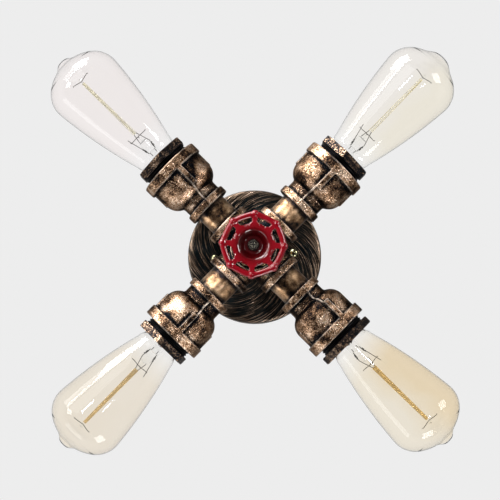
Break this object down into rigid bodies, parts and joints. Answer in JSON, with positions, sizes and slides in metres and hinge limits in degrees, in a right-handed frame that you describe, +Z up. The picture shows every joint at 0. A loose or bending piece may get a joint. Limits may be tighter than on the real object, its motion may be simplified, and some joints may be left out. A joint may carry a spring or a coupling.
{
  "type": "ceiling light",
  "caption": "Ceiling light of bronzed pipe fittings in an X: ribbed reducers, hexagonal collars, pear-shaped filament bulbs, a round canopy and a red valve handwheel.",
  "frame": {"origin": "centre of the canopy's rim, on the ceiling plane, midway between the two ceiling screw holes", "axes": "+Z up into the ceiling, along the canopy and handwheel axis; the arms point level at 45, 135, 225 and 315 degrees from +X, so -Z points down into the room"},
  "size_m": [0.331, 0.331, 0.1542],
  "materials": {
    "canopy_bronze": "antique bronze, curved brush strokes rubbed back to gold on a near-black ground",
    "plated_steel": "zinc-plated steel, satin",
    "polished_brass": "polished brass",
    "pipe_bronze": "antique bronze, streaks of rubbed copper along a dark pipe",
    "cast_bronze": "antique bronze on a cast skin, speckled copper-gold on near-black",
    "aged_brass": "aged brass, dark in the corners",
    "red_enamel": "glossy red enamel",
    "dark_steel": "dark oxidised steel",
    "white_plastic": "matt connector plastic",
    "black_sheath": "black cable sheath",
    "collar_black": "black iron with bronze speckle on the raised edges",
    "white_ceramic": "glazed porcelain",
    "contact_brass": "bright brass",
    "solder": "dull solder",
    "black_glass": "black vitreous glass",
    "cap_nickel": "nickel-plated brass",
    "clear_glass": "clear blown glass with a faint smoke tint",
    "amber_glass": "blown glass with a pale amber tint",
    "filament_gold": "amber-gold filament strands with fine support wires"
  },
  "bodies": {
    "fixture": {"canopy": "canopy_bronze", "ceiling_bracket": "plated_steel", "bracket_studs": "plated_steel", "stud_nuts": "plated_steel", "ball_nuts": "polished_brass", "down_nipple": "pipe_bronze", "lock_nuts": "plated_steel", "cross_fitting": "cast_bronze", "valve_bonnet": "aged_brass", "gland_nut": "aged_brass", "terminal_blocks": "white_plastic", "arm_cables": "black_sheath", "arm_nipple_1": "pipe_bronze", "reducer_1": "cast_bronze", "hex_collar_1": "collar_black", "lampholder_1": "white_ceramic", "socket_shell_1": "contact_brass", "socket_contact_1": "contact_brass", "arm_nipple_2": "pipe_bronze", "reducer_2": "cast_bronze", "hex_collar_2": "collar_black", "lampholder_2": "white_ceramic", "socket_shell_2": "contact_brass", "socket_contact_2": "contact_brass", "arm_nipple_3": "pipe_bronze", "reducer_3": "cast_bronze", "hex_collar_3": "collar_black", "lampholder_3": "white_ceramic", "socket_shell_3": "contact_brass", "socket_contact_3": "contact_brass", "arm_nipple_4": "pipe_bronze", "reducer_4": "cast_bronze", "hex_collar_4": "collar_black", "lampholder_4": "white_ceramic", "socket_shell_4": "contact_brass", "socket_contact_4": "contact_brass"},
    "valve_wheel": {"handwheel": "red_enamel", "valve_stem": "aged_brass", "wheel_screw": "dark_steel"},
    "bulb_1_base": {"bulb_tip_1": "solder"},
    "bulb_1": {"bulb_insulator_1": "black_glass", "bulb_cap_1": "cap_nickel", "bulb_glass_1": "clear_glass", "bulb_filament_1": "filament_gold"},
    "bulb_2_base": {"bulb_tip_2": "solder"},
    "bulb_2": {"bulb_insulator_2": "black_glass", "bulb_cap_2": "cap_nickel", "bulb_glass_2": "clear_glass", "bulb_filament_2": "filament_gold"},
    "bulb_3_base": {"bulb_tip_3": "solder"},
    "bulb_3": {"bulb_insulator_3": "black_glass", "bulb_cap_3": "cap_nickel", "bulb_glass_3": "amber_glass", "bulb_filament_3": "filament_gold"},
    "bulb_4_base": {"bulb_tip_4": "solder"},
    "bulb_4": {"bulb_insulator_4": "black_glass", "bulb_cap_4": "cap_nickel", "bulb_glass_4": "amber_glass", "bulb_filament_4": "filament_gold"}
  },
  "joints": [
    {"name": "handwheel_turn", "type": "hinge", "parent": "fixture", "child": "valve_wheel", "pos_m": [0, 0, -0.15], "axis": [0, 0, 1], "continuous": true},
    {"name": "bulb_1_travel", "type": "slide", "parent": "fixture", "child": "bulb_1_base", "axis": [0.7071, 0.7071, 0], "range_m": [0, 0.01365]},
    {"name": "bulb_1_screw", "type": "hinge", "parent": "bulb_1_base", "child": "bulb_1", "pos_m": [0.10607, 0.10607, -0.095], "axis": [0.7071, 0.7071, 0], "range_deg": [0, 1350]},
    {"name": "bulb_2_travel", "type": "slide", "parent": "fixture", "child": "bulb_2_base", "axis": [-0.7071, 0.7071, 0], "range_m": [0, 0.01365]},
    {"name": "bulb_2_screw", "type": "hinge", "parent": "bulb_2_base", "child": "bulb_2", "pos_m": [-0.10607, 0.10607, -0.095], "axis": [-0.7071, 0.7071, 0], "range_deg": [0, 1350]},
    {"name": "bulb_3_travel", "type": "slide", "parent": "fixture", "child": "bulb_3_base", "axis": [-0.7071, -0.7071, 0], "range_m": [0, 0.01365]},
    {"name": "bulb_3_screw", "type": "hinge", "parent": "bulb_3_base", "child": "bulb_3", "pos_m": [-0.10607, -0.10607, -0.095], "axis": [-0.7071, -0.7071, 0], "range_deg": [0, 1350]},
    {"name": "bulb_4_travel", "type": "slide", "parent": "fixture", "child": "bulb_4_base", "axis": [0.7071, -0.7071, 0], "range_m": [0, 0.01365]},
    {"name": "bulb_4_screw", "type": "hinge", "parent": "bulb_4_base", "child": "bulb_4", "pos_m": [0.10607, -0.10607, -0.095], "axis": [0.7071, -0.7071, 0], "range_deg": [0, 1350]}
  ],
  "couplings": [
    {"joint": "bulb_1_travel", "follows": "bulb_1_screw", "m_per_rad": 0.00057757},
    {"joint": "bulb_2_travel", "follows": "bulb_2_screw", "m_per_rad": 0.00057757},
    {"joint": "bulb_3_travel", "follows": "bulb_3_screw", "m_per_rad": 0.00057757},
    {"joint": "bulb_4_travel", "follows": "bulb_4_screw", "m_per_rad": 0.00057757}
  ]
}
